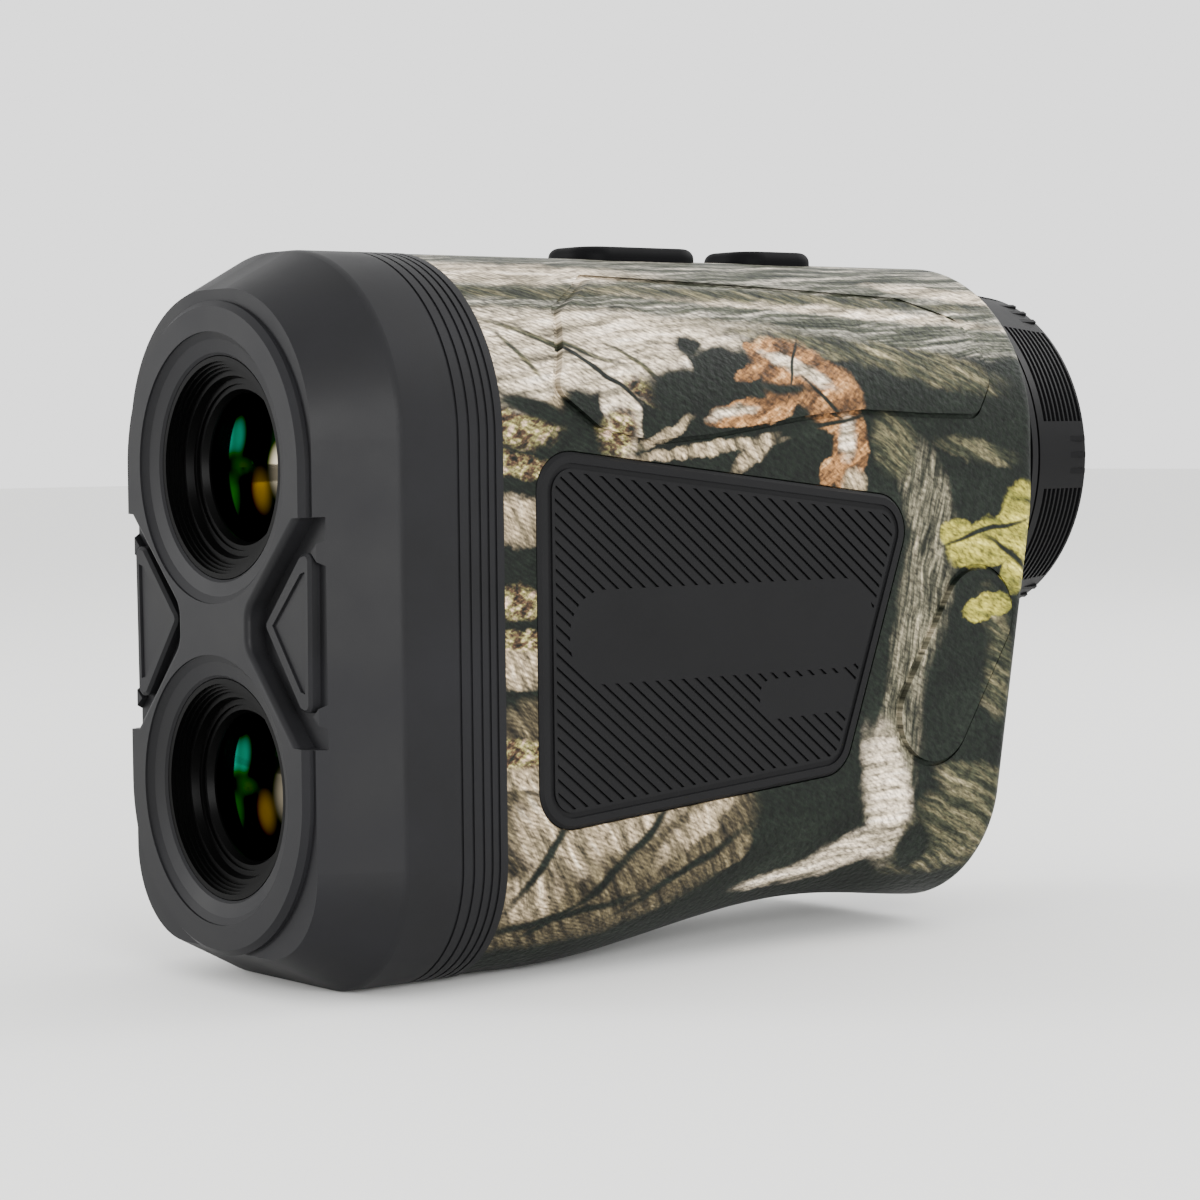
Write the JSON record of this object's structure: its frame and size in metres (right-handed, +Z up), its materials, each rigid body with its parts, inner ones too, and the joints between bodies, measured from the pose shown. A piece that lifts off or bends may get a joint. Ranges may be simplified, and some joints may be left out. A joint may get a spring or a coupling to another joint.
{
  "type": "laser rangefinder",
  "caption": "Hand-held laser rangefinder with stacked front lenses, camouflage shells, grooved side panels, top buttons and a ribbed focusing eyepiece.",
  "frame": {"origin": "under the middle of the instrument, on the plane of the bezel's underside", "axes": "+Z up, lenses look towards -Y, eyepiece at +Y, X = 0 is the parting plane of the shells"},
  "size_m": [0.0416, 0.104, 0.074],
  "materials": {
    "bezel_rubber": "satin moulded rubber",
    "camo_shell": "film-printed camouflage on a grained shell",
    "panel_rubber": "matt moulded rubber",
    "button_rubber": "matt moulded rubber",
    "grip_rubber": "matt moulded rubber",
    "base_plastic": "satin moulded plastic",
    "barrel_black": "black anodised, turned steps",
    "lens_glass": "polished, coated",
    "prism_glass": "polished",
    "inner_plastic": "moulded",
    "circuit_board": "solder mask",
    "component_black": "moulded",
    "spring_steel": "bright",
    "screw_steel": "blackened",
    "metal_can": "plated",
    "battery_wrap": "shrink film",
    "seal_rubber": "moulded",
    "cap_plastic": "satin moulded plastic"
  },
  "bodies": {
    "body": {"front_bezel": "bezel_rubber", "left_shell": "camo_shell", "right_shell": "camo_shell", "left_side_panel": "panel_rubber", "right_side_panel": "panel_rubber", "power_switch": "component_black", "mode_switch": "component_black", "button_board": "circuit_board", "upper_barrel": "barrel_black", "lower_barrel": "barrel_black", "upper_retaining_ring": "barrel_black", "lower_retaining_ring": "barrel_black", "objective_lens": "lens_glass", "field_flattener_lens": "lens_glass", "receiver_lens": "lens_glass", "upper_lens_seal": "seal_rubber", "lower_lens_seal": "seal_rubber", "prism_housing": "inner_plastic", "roof_prism": "prism_glass", "half_penta_prism": "prism_glass", "reticle_display": "prism_glass", "laser_mount": "inner_plastic", "laser_diode": "metal_can", "receiver_board": "circuit_board", "apd_detector": "metal_can", "main_board": "circuit_board", "processor_chip": "component_black", "board_screws": "screw_steel", "shell_screws": "screw_steel", "eyepiece_tube": "base_plastic", "battery_sleeve": "inner_plastic", "battery": "battery_wrap", "contact_spring": "spring_steel", "strap_pin": "screw_steel"},
    "power_key": {"power_button": "button_rubber", "power_plunger": "component_black"},
    "mode_key": {"mode_button": "button_rubber", "mode_plunger": "component_black"},
    "focus_ring": {"diopter_ring": "base_plastic", "eyecup": "grip_rubber"},
    "focus_cell": {"ocular_cell": "barrel_black", "eye_lens": "lens_glass", "field_lens": "lens_glass", "eye_ring": "barrel_black"},
    "cap_slider": {"cap_contact": "spring_steel"},
    "cap": {"battery_cap": "cap_plastic", "cap_seal": "seal_rubber"}
  },
  "joints": [
    {"name": "power_press", "type": "slide", "parent": "body", "child": "power_key", "axis": [0, 0, -1], "range_m": [0, 0.0008], "stiffness_N_per_m": 900, "springref_m": -0.0006},
    {"name": "mode_press", "type": "slide", "parent": "body", "child": "mode_key", "axis": [0, 0, -1], "range_m": [0, 0.0008], "stiffness_N_per_m": 900, "springref_m": -0.0006},
    {"name": "diopter_turn", "type": "hinge", "parent": "body", "child": "focus_ring", "pos_m": [0, 0.047, 0.0514], "axis": [0, 1, 0], "range_deg": [-150.1, 150.1]},
    {"name": "focus_travel", "type": "slide", "parent": "body", "child": "focus_cell", "axis": [0, 1, 0], "range_m": [-0.0015, 0.0015]},
    {"name": "cap_travel", "type": "slide", "parent": "body", "child": "cap_slider", "axis": [0, 0.9857, -0.1686], "range_m": [0, 0.003]},
    {"name": "cap_turn", "type": "hinge", "parent": "cap_slider", "child": "cap", "pos_m": [0, 0.03759, 0.0214], "axis": [0, 0.9857, -0.1686], "range_deg": [0, 1080.5]}
  ],
  "couplings": [
    {"joint": "diopter_turn", "follows": "focus_travel", "rad_per_m": 1745.3},
    {"joint": "cap_turn", "follows": "cap_travel", "rad_per_m": 6283.2}
  ]
}
